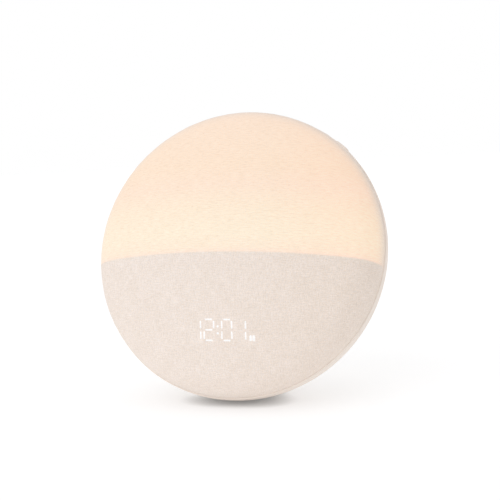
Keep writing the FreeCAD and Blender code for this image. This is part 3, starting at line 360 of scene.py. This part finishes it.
threads, threads_in, threads_out = group_of(
    "plain_weave", [("Place", "Vector"), ("Pitch", "Float")],
    [("Height", "Float"), ("Across", "Float"), ("Along", "Float")])
pitches = scaled(threads, threads_in.outputs["Place"],
                 math_of(threads, "DIVIDE", 1.0, threads_in.outputs["Pitch"]))
split = add(threads, "SeparateXYZ", {0: pitches})
warp_wave = math_of(threads, "SINE", math_of(threads, "MULTIPLY", split.outputs["X"], math.pi))
weft_wave = math_of(threads, "SINE", math_of(threads, "MULTIPLY", split.outputs["Y"], math.pi))
over = steps(threads, math_of(threads, "MULTIPLY", warp_wave, weft_wave), -0.5, 0.5)
under = math_of(threads, "SUBTRACT", 1.0, over)
warp_top = math_of(threads, "MULTIPLY", math_of(threads, "ABSOLUTE", warp_wave), over)
weft_top = math_of(threads, "MULTIPLY", math_of(threads, "ABSOLUTE", weft_wave), under)
feed(threads, threads_out, {
    "Height": math_of(threads, "MAXIMUM", warp_top, weft_top),
    "Across": noise(threads, pitches, 1.0, 3.0, 0.6, (0.16, 1.1, 1.0)),
    "Along": noise(threads, pitches, 1.0, 3.0, 0.6, (1.1, 0.16, 1.0), (31.0, 7.0, 0.0))})

# The display's bars, in millimetres on the face: centre, half length, radius and glow
digit_places = (-15.0, -6.0, 6.0, 15.0)
digit_letters = ("bc", "abged", "abcdef", "bc")
digit_middle = -61.35
digit_shift = 0.2
digit_reach = 3.3
digit_rise = 6.4
bar_half = digit_rise / 2.0 - 1.33
bar_radius = 0.48
bar_softness = 0.32
unlit_glow = 0.09
colon_rise = 2.14
colon_radius = 0.70
mark_across, mark_up = 22.7, -66.0
mark_reach = 1.0
mark_half = 0.95
mark_radius = 0.85
mark_glow = 0.9
bars = []
for place, lit_letters in zip(digit_places, digit_letters):
    middle = place + digit_shift
    upper, lower = digit_middle + digit_rise / 2.0, digit_middle - digit_rise / 2.0
    lying = {"a": (middle, digit_middle + digit_rise), "g": (middle, digit_middle),
             "d": (middle, digit_middle - digit_rise)}
    upright = {"b": (middle + digit_reach, upper), "c": (middle + digit_reach, lower),
               "e": (middle - digit_reach, lower), "f": (middle - digit_reach, upper)}
    for letters, half in ((lying, (bar_half, 0.0, 0.0)), (upright, (0.0, bar_half, 0.0))):
        for letter, (x, y) in letters.items():
            bars.append(((x, y, 0.0), half, bar_radius, 1.0 if letter in lit_letters else unlit_glow))
for side in (-1.0, 1.0):
    bars.append(((digit_shift, digit_middle + side * colon_rise, 0.0), (0.0, 0.0, 0.0),
                 colon_radius, 1.0))
    bars.append(((mark_across + side * mark_reach, mark_up, 0.0), (0.0, mark_half, 0.0),
                 mark_radius, mark_glow))

# The yarn, and the painted glow through it; the glow's colours go up the face from the horizon to the
# top
yarn_pitch = 0.72
flax_tones = ((0.871, 0.771, 0.699), (0.886, 0.789, 0.722))
yarn_hues = ((1.024, 1.0, 0.964), (0.976, 1.0, 1.036))
# Painted shade: under the glow the cloth's own colour is darkened by this tint, so that glow and room
# light add up.
lit_tint = (0.60, 0.56, 0.50)
# Painted shade: towards the right the cloth's colour is multiplied by the first tint and its glow by
# the second, darker there as if lit from the left.
right_shade_tint = (0.985, 0.970, 0.950)
right_glow = (1.09, 0.97, 0.91)
horizon = -12.0
horizon_blur = 0.7
rim_fade = 18.0
glow_colours = ((0.0, (0.475, 0.380, 0.325)), (0.03, (0.475, 0.415, 0.334)),
                (0.11, (0.475, 0.434, 0.343)), (0.27, (0.475, 0.411, 0.322)),
                (0.42, (0.475, 0.371, 0.300)), (0.55, (0.470, 0.365, 0.281)),
                (0.78, (0.470, 0.365, 0.290)), (1.0, (0.470, 0.355, 0.290)))
digit_light = (0.18, 0.27, 0.345)


def linen_finish(tree):
    """Pale flax yarn, uneven in yarn and weave, with the sunrise and the digits painted in as glow."""
    size = 2000.0 * blank_radius
    yarn = add(tree, "Mapping", {"Vector": add(tree, "UVMap", uv_map="blank").outputs[0],
                                 "Location": (-size / 2.0, -size / 2.0, 0.0),
                                 "Scale": (size, size, 1.0)}).outputs[0]
    centre = 1000.0 * rim_centre
    face = add(tree, "Mapping", {"Vector": add(tree, "TexCoord").outputs["Object"],
                                 "Rotation": (lean - math.pi / 2.0, 0.0, 0.0),
                                 "Scale": (1000.0, 1000.0, 1000.0),
                                 "Location": (0.0, -centre.dot(face_up), -centre.dot(face_out))})
    face = face.outputs[0]
    spot = add(tree, "SeparateXYZ", {0: face})
    across_face, up_face, out_of_face = (spot.outputs[axis] for axis in "XYZ")

    wander = add(tree, "TexNoise", {"Vector": yarn, "Scale": 0.22, "Detail": 2.0}).outputs["Color"]
    wander = vector_of(tree, "MULTIPLY_ADD", wander, (1.1, 1.1, 0.0), yarn)
    weave = placed(tree, threads, {"Place": wander, "Pitch": yarn_pitch})
    lines_across = balanced(tree, weave.outputs["Across"])
    lines_along = balanced(tree, weave.outputs["Along"])
    # Painted shade: the cloth is made darker where the weave dips between its threads.
    gap_shade = steps(tree, weave.outputs["Height"], 0.55, 0.15)
    grain = balanced(tree, noise(tree, yarn, 1.3, 2.0, 0.7))
    cloud = balanced(tree, noise(tree, yarn, 0.075, 3.0, 0.6))
    hue = noise(tree, yarn, 0.9, 3.0, 0.75, shift=(40.0, 13.0, 0.0))
    slub = noise(tree, yarn, 1.0, 2.0, 0.5, (0.06, 0.55, 1.0), (5.0, 90.0, 0.0))
    slub = steps(tree, slub, 0.63, 0.74)
    fleck = noise(tree, yarn, 1.0, 1.0, 0.5, (0.45, 0.8, 1.0), (60.0, 11.0, 0.0))
    fleck = steps(tree, fleck, 0.70, 0.80)
    dash = noise(tree, yarn, 1.0, 2.0, 0.5, (0.28, 1.5, 1.0), (9.0, 51.0, 0.0))
    dash = steps(tree, dash, 0.52, 0.72)
    streak = noise(tree, yarn, 1.0, 2.0, 0.5, (0.045, 1.1, 1.0), (77.0, 23.0, 0.0))
    streak = steps(tree, streak, 0.56, 0.72)

    inside_rim = math_of(tree, "MULTIPLY_ADD", up_face, -0.085, out_of_face)
    inside_rim = math_of(tree, "MULTIPLY_ADD", across_face, 0.03, inside_rim)
    lit = math_of(tree, "MULTIPLY",
                  steps(tree, up_face, horizon - horizon_blur, horizon + horizon_blur),
                  steps(tree, inside_rim, 0.0, rim_fade))

    yarn_shade = sum_of(tree, (
        (lines_across, 0.062), (lines_along, steps(tree, lit, 0.0, 1.0, 0.066, 0.015)),
        (grain, steps(tree, lit, 0.0, 1.0, 0.080, 0.045)), (cloud, 0.006), (gap_shade, -0.11),
        (slub, 0.030), (fleck, -0.10)))
    yarn_tone = vector_of(tree, "MULTIPLY_ADD", yarn_shade, (0.87, 1.0, 1.2), white)
    yarn_hue = blend(tree, steps(tree, hue, 0.3, 0.7), *yarn_hues)
    flax = blend(tree, steps(tree, cloud, -1.0, 1.0), *flax_tones)
    # Painted shade: the cloth's colour darkens towards the right.
    shaded_to_right = blend(tree, steps(tree, across_face, -20.0, 100.0), white, right_shade_tint)
    cloth_colour = product_of(tree, flax, (yarn_hue, yarn_tone, blend(tree, lit, white, lit_tint),
                                           shaded_to_right))

    through = sum_of(tree, ((lines_across, 0.055), (streak, -0.09), (grain, 0.018),
                            (slub, -0.04), (dash, -0.14), (fleck, -0.12)))
    through_tone = vector_of(tree, "MULTIPLY_ADD", through, (0.6, 1.0, 1.4), (1.01, 1.015, 1.025))
    # Painted shade on the glow: less green and blue, so darker and redder, towards the right.
    to_right = steps(tree, across_face, 25.0, 100.0, 0.0, 1.0, "LINEAR")
    glow = add(tree, "ValToRGB", {0: steps(tree, up_face, horizon, 100.0, 0.0, 1.0, "LINEAR")})
    shades = glow.color_ramp.elements
    for position, colour in glow_colours[1:-1]:
        shades.new(position)
    for shade, (position, colour) in zip(shades, glow_colours):
        shade.color = (*colour, 1.0)
    sunrise = product_of(tree, glow.outputs["Color"],
                         (through_tone, yarn_hue, blend(tree, to_right, white, right_glow)))

    digits = sum_of(tree, [(placed(tree, light_bar, {
        "Place": face, "Centre": bar_centre, "Half": half, "Radius": radius,
        "Softness": bar_softness}).outputs["Glow"], strength)
        for bar_centre, half, radius, strength in bars])
    digits = math_of(tree, "MULTIPLY", math_of(tree, "MINIMUM", digits, 1.0),
                     steps(tree, grain, -1.0, 1.0, 0.80, 1.15, "LINEAR"))

    height = math_of(tree, "MULTIPLY_ADD", slub, 0.5, weave.outputs["Height"])
    height = math_of(tree, "MULTIPLY_ADD", lines_across, 0.25, height)
    return add(tree, "BsdfPrincipled", {
        "Base Color": cloth_colour, "Roughness": 0.86, "Specular IOR Level": 0.25,
        "Sheen Weight": 0.18, "Sheen Roughness": 0.45, "Sheen Tint": (1.0, 0.95, 0.90),
        "Emission Color": vector_of(tree, "ADD", scaled(tree, sunrise, lit),
                                    scaled(tree, digit_light, digits)),
        "Emission Strength": 1.0,
        "Normal": add(tree, "Bump", {"Strength": 0.35, "Distance": 0.0001,
                                     "Height": height}).outputs[0]}).outputs[0]


linen.data.materials.append(material_with("lit_linen", linen_finish))
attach(linen, "clock")
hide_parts("fabric_cover")


# Casing, back panel and foot: three mouldings of warm stone-coloured plastic, screwed together.
# A spark-eroded mould leaves a fine pitted grain, and tone and sheen drift slowly over it.
moulded, moulded_in, moulded_out = group_of(
    "moulded_grain", [("Place", "Vector"), ("Size", "Float")],
    [("Height", "Float"), ("Tone", "Float"), ("Polish", "Float")])
grains = scaled(moulded, moulded_in.outputs["Place"],
                math_of(moulded, "DIVIDE", 1.0, moulded_in.outputs["Size"]))
pits = add(moulded, "TexVoronoi", {"Vector": grains, "Scale": 1.0, "Randomness": 1.0},
           feature="SMOOTH_F1")
pits = steps(moulded, pits.outputs["Distance"], 0.1, 0.6)
specks = noise(moulded, grains, 1.7, 3.0, 0.65)
drift = noise(moulded, moulded_in.outputs["Place"], 0.03, 2.0, 0.5)
smears = noise(moulded, moulded_in.outputs["Place"], 0.09, 3.0, 0.6, (1.0, 0.45, 1.0),
               (17.0, 3.0, 8.0))
feed(moulded, moulded_out, {"Height": math_of(moulded, "MULTIPLY_ADD", specks, 0.6, pits),
                            "Tone": math_of(moulded, "MULTIPLY_ADD", specks, 0.35, drift),
                            "Polish": math_of(moulded, "MULTIPLY_ADD", pits, 0.25, smears)})


def millimetres(tree):
    """The place on the piece, in millimetres."""
    return scaled(tree, add(tree, "TexCoord").outputs["Object"], 1000.0)


def bumped(tree, height, strength, distance):
    """The normal of a surface with that relief."""
    return add(tree, "Bump", {"Strength": strength, "Distance": distance,
                              "Height": height}).outputs[0]


def moulded_finish(colour, roughness, size=0.35, depth=0.00002):
    """A finish function for moulded plastic, with the size of its grain in millimetres."""
    def finish(tree):
        grain = placed(tree, moulded, {"Place": millimetres(tree), "Size": size})
        shade = steps(tree, grain.outputs["Tone"], 0.45, 0.95, 0.975, 1.02, "LINEAR")
        rough = steps(tree, grain.outputs["Polish"], 0.3, 0.9, roughness - 0.05,
                      roughness + 0.07, "LINEAR")
        return add(tree, "BsdfPrincipled", {
            "Base Color": scaled(tree, colour, shade), "Specular IOR Level": 0.4,
            "Roughness": rough,
            "Normal": bumped(tree, grain.outputs["Height"], 0.4, depth)}).outputs[0]
    return finish


def coat(material, *names):
    """Give CAD nodes their finished material, on the slot they came with."""
    for name in names:
        nodes[name].data.materials[0] = material


coat(material_with("stone_plastic", moulded_finish((0.880, 0.785, 0.706), 0.52)),
     "rear_housing", "back_panel", "foot_base")


# Rim buttons and alarm slide: caps of the casing's plastic that slide in slots of the casing.
# Their grain is finer, and fingers have polished them a little.
coat(material_with("button_plastic", moulded_finish((0.875, 0.780, 0.702), 0.44, 0.22, 0.00001)),
     "volume_up_button", "volume_down_button", "brightness_up_button", "brightness_down_button",
     "snooze_button", "alarm_knob")


# Speaker grille: a pierced disc of the casing's plastic, let in flush with the back panel.
# It comes from its own mould, so its tone and its grain differ slightly from the panel's.
coat(material_with("grille_plastic", moulded_finish((0.860, 0.765, 0.688), 0.50, 0.30)),
     "speaker_grille")


# Rubber: the foot's pad, and the speaker's roll and gasket, of dark silicone.
# It is matt, finely ribbed in rings, and holds a little pale dust.
ring_pitch = 1.6


def rubber_finish(tree):
    """Dark silicone with moulded rings round the upright axis and a bloom of pale dust."""
    place = millimetres(tree)
    spot = add(tree, "SeparateXYZ", {0: place})
    squares = math_of(tree, "MULTIPLY", spot.outputs["Y"], spot.outputs["Y"])
    squares = math_of(tree, "MULTIPLY_ADD", spot.outputs["X"], spot.outputs["X"], squares)
    turns = math_of(tree, "MULTIPLY", math_of(tree, "SQRT", squares), 2.0 * math.pi / ring_pitch)
    rings = steps(tree, math_of(tree, "SINE", turns), -0.4, 0.8)
    skin = placed(tree, moulded, {"Place": place, "Size": 0.25})
    bloom = noise(tree, place, 0.12, 4.0, 0.65)
    dust = steps(tree, bloom, 0.45, 0.75, 0.0, 0.35)
    relief = math_of(tree, "MULTIPLY_ADD", skin.outputs["Height"], 0.15, rings)
    return add(tree, "BsdfPrincipled", {
        "Base Color": blend(tree, dust, (0.050, 0.047, 0.045), (0.115, 0.107, 0.098)),
        "Roughness": steps(tree, bloom, 0.3, 0.7, 0.72, 0.9, "LINEAR"),
        "Specular IOR Level": 0.35, "Normal": bumped(tree, relief, 0.5, 0.0001)}).outputs[0]


coat(material_with("matt_rubber", rubber_finish), "foot_pad", "speaker_surround", "speaker_gasket")


# Small mouldings: the power inlet, switches and components in black, and in white the plungers
# that carry each button's push to its switch. They are nylon and epoxy with a coarser grain.
coat(material_with("black_nylon", moulded_finish((0.030, 0.030, 0.032), 0.48, 0.5)),
     "power_jack", "alarm_switch", "tact_switches", "board_components")
coat(material_with("white_nylon", moulded_finish((0.74, 0.73, 0.70), 0.42, 0.3)),
     "volume_up_plunger", "volume_down_plunger", "brightness_up_plunger",
     "brightness_down_plunger", "snooze_plunger")


# Metal pieces: plated screws and contacts, the speaker's coated basket and its motor.
# They share fine turning lines, dull patches and a few scratches.
worked, worked_in, worked_out = group_of(
    "worked_metal", [("Place", "Vector")],
    [("Lines", "Float"), ("Dull", "Float"), ("Scratch", "Float")])
scratch = noise(worked, worked_in.outputs["Place"], 1.0, 1.0, 0.4, (0.15, 3.5, 1.4),
                (4.0, 21.0, 9.0))
feed(worked, worked_out, {
    "Lines": noise(worked, worked_in.outputs["Place"], 1.0, 3.0, 0.7, (0.4, 9.0, 9.0)),
    "Dull": noise(worked, worked_in.outputs["Place"], 0.35, 4.0, 0.6),
    "Scratch": steps(worked, scratch, 0.66, 0.72)})


def metal_finish(colour, metallic, roughness):
    """A finish function for a metal or coated-metal piece of that colour."""
    def finish(tree):
        work = placed(tree, worked, {"Place": millimetres(tree)})
        tone = steps(tree, work.outputs["Dull"], 0.3, 0.7, 0.90, 1.05, "LINEAR")
        tone = math_of(tree, "MULTIPLY_ADD", work.outputs["Scratch"], 0.12, tone)
        rough = steps(tree, work.outputs["Dull"], 0.3, 0.7, roughness - 0.08, roughness + 0.12,
                      "LINEAR")
        return add(tree, "BsdfPrincipled", {
            "Base Color": scaled(tree, colour, tone), "Metallic": metallic, "Roughness": rough,
            "Normal": bumped(tree, work.outputs["Lines"], 0.2, 0.00002)}).outputs[0]
    return finish


coat(material_with("zinc_plate", metal_finish((0.62, 0.62, 0.63), 1.0, 0.32)),
     "lamp_board_screws", "display_screws", "board_screws", "chassis_screws", "speaker_screws",
     "foot_screws", "back_board_screws", "rim_board_screws", "panel_screws")
coat(material_with("gilt_contact", metal_finish((0.86, 0.72, 0.44), 1.0, 0.28)), "jack_contacts")
coat(material_with("black_coat", metal_finish((0.035, 0.035, 0.038), 0.0, 0.5)), "speaker_basket")
coat(material_with("ferrite", metal_finish((0.085, 0.083, 0.085), 0.3, 0.6)), "speaker_magnet")


# Speaker cone: pressed black paper with its coil former, glued to the rubber roll.
# Short fibres show in it, lying both ways.
def paper_finish(tree):
    """Coated black paper with short fibres lying both ways."""
    place = millimetres(tree)
    felt = noise(tree, place, 1.1, 5.0, 0.75, (1.0, 0.3, 1.0))
    fibres = noise(tree, place, 1.3, 5.0, 0.75, (0.3, 1.0, 0.5), (9.0, 2.0, 5.0))
    mixed = math_of(tree, "MAXIMUM", felt, fibres)
    colour = blend(tree, steps(tree, mixed, 0.5, 0.8), (0.020, 0.020, 0.021),
                   (0.060, 0.058, 0.056))
    return add(tree, "BsdfPrincipled", {
        "Base Color": colour, "Roughness": steps(tree, felt, 0.3, 0.7, 0.66, 0.84, "LINEAR"),
        "Normal": bumped(tree, mixed, 0.5, 0.00008)}).outputs[0]


coat(material_with("pressed_paper", paper_finish), "speaker_cone")


# Dome shells and inner mouldings: the milky upper shell lets the lamps' light through, and the
# opaque lower shell, the wall at the horizon and the other mouldings are plain white.
def milky_finish(tree):
    """Milky acrylic that scatters light just under its skin."""
    grain = placed(tree, moulded, {"Place": millimetres(tree), "Size": 0.6})
    colour = blend(tree, steps(tree, grain.outputs["Tone"], 0.4, 1.0), (0.86, 0.84, 0.79),
                   (0.93, 0.91, 0.87))
    return add(tree, "BsdfPrincipled", {
        "Base Color": colour, "Subsurface Weight": 0.4,
        "Subsurface Radius": (0.004, 0.003, 0.002), "Subsurface Scale": 1.0,
        "Roughness": steps(tree, grain.outputs["Polish"], 0.3, 0.9, 0.40, 0.55, "LINEAR"),
        "Normal": bumped(tree, grain.outputs["Height"], 0.2, 0.00003)}).outputs[0]


coat(material_with("milky_acrylic", milky_finish), "diffuser_shell")
coat(material_with("white_moulding", moulded_finish((0.80, 0.79, 0.76), 0.45, 0.5)),
     "lower_shell", "horizon_baffle", "hem_hoop", "chassis_plate", "reflector_tray",
     "display_block")


# Circuit boards: glass epoxy under green solder mask, held by screws on the mouldings' bosses.
# Copper tracks stand up under the mask, and tinned pads come through it.
track_pitch = 1.27


def board_finish(tree):
    """Green solder mask over straight copper tracks both ways, with a scatter of round pads."""
    place = millimetres(tree)
    spot = add(tree, "SeparateXYZ", {0: place})
    tracks = 0.0
    for axis, stretch, shift in (("X", (0.7, 0.3, 0.06), 0.0), ("Z", (0.06, 0.3, 0.7), 40.0)):
        turns = math_of(tree, "MULTIPLY", spot.outputs[axis], 2.0 * math.pi / track_pitch)
        routed = noise(tree, place, 1.0, 0.0, 0.5, stretch, (shift, 3.0, shift))
        run = math_of(tree, "MULTIPLY", steps(tree, math_of(tree, "SINE", turns), 0.35, 0.6),
                      steps(tree, routed, 0.52, 0.56))
        tracks = math_of(tree, "MAXIMUM", run, tracks)
    dots = add(tree, "TexVoronoi", {"Vector": place, "Scale": 0.28, "Randomness": 0.6})
    pads = steps(tree, dots.outputs["Distance"], 0.17, 0.13)
    mask = blend(tree, tracks, (0.010, 0.085, 0.040), (0.020, 0.150, 0.070))
    rough = steps(tree, noise(tree, place, 0.4, 3.0), 0.3, 0.7, 0.26, 0.42, "LINEAR")
    raised = math_of(tree, "MAXIMUM", tracks, pads)
    return add(tree, "BsdfPrincipled", {
        "Base Color": blend(tree, pads, mask, (0.62, 0.61, 0.58)), "Metallic": pads,
        "Roughness": rough, "Normal": bumped(tree, raised, 0.5, 0.00004)}).outputs[0]


coat(material_with("solder_mask", board_finish), "lamp_board", "display_board", "main_board",
     "jack_board", "alarm_switch_board", "right_switch_board", "left_switch_board",
     "top_switch_board")


# Lamps and light bars: phosphor that glows warm behind the diffuser and cold behind the digits,
# and the display's clear bars, lit or dark, in their white block.
def glowing_finish(colour, light, strength):
    """A finish function for a clear or phosphor-filled piece and the light it gives."""
    def finish(tree):
        swirl = noise(tree, millimetres(tree), 0.9, 3.0, 0.6)
        shade = steps(tree, swirl, 0.3, 0.7, 0.94, 1.04, "LINEAR")
        return add(tree, "BsdfPrincipled", {
            "Base Color": scaled(tree, colour, shade), "Emission Color": light,
            "Emission Strength": steps(tree, swirl, 0.3, 0.7, 0.9 * strength, 1.1 * strength,
                                       "LINEAR"),
            "Roughness": steps(tree, swirl, 0.3, 0.7, 0.20, 0.34, "LINEAR")}).outputs[0]
    return finish


cold_white = (0.97, 0.98, 1.0)
coat(material_with("warm_phosphor", glowing_finish((0.90, 0.76, 0.42), (1.0, 0.78, 0.50), 1.2)),
     "lamp_packages")
coat(material_with("white_phosphor", glowing_finish((0.88, 0.86, 0.74), (0.95, 0.97, 1.0), 1.0)),
     "display_sources")
coat(material_with("lit_bar", glowing_finish((0.90, 0.90, 0.90), cold_white, 1.5)),
     "lit_segments")
coat(material_with("dark_bar", glowing_finish((0.66, 0.64, 0.61), cold_white, 0.02)),
     "unlit_segments")


# Wiring: round leads in white sheath, soldered from board to board, and the display's flat
# cable, whose cores lie side by side a millimetre apart.
def sheath_finish(tree):
    """White flexible sheath, a little scuffed, with the flat cable's cores as ridges."""
    place = millimetres(tree)
    spot = add(tree, "SeparateXYZ", {0: place})
    cores = math_of(tree, "SINE", math_of(tree, "MULTIPLY", spot.outputs["X"], 2.0 * math.pi))
    scuffs = noise(tree, place, 0.5, 4.0, 0.65)
    colour = blend(tree, steps(tree, scuffs, 0.45, 0.75), (0.76, 0.75, 0.73), (0.66, 0.65, 0.62))
    return add(tree, "BsdfPrincipled", {
        "Base Color": colour, "Normal": bumped(tree, cores, 0.4, 0.0001),
        "Roughness": steps(tree, scuffs, 0.3, 0.7, 0.40, 0.60, "LINEAR")}).outputs[0]


coat(material_with("white_sheath", sheath_finish), "speaker_lead", "lamp_lead", "power_lead",
     "display_ribbon")
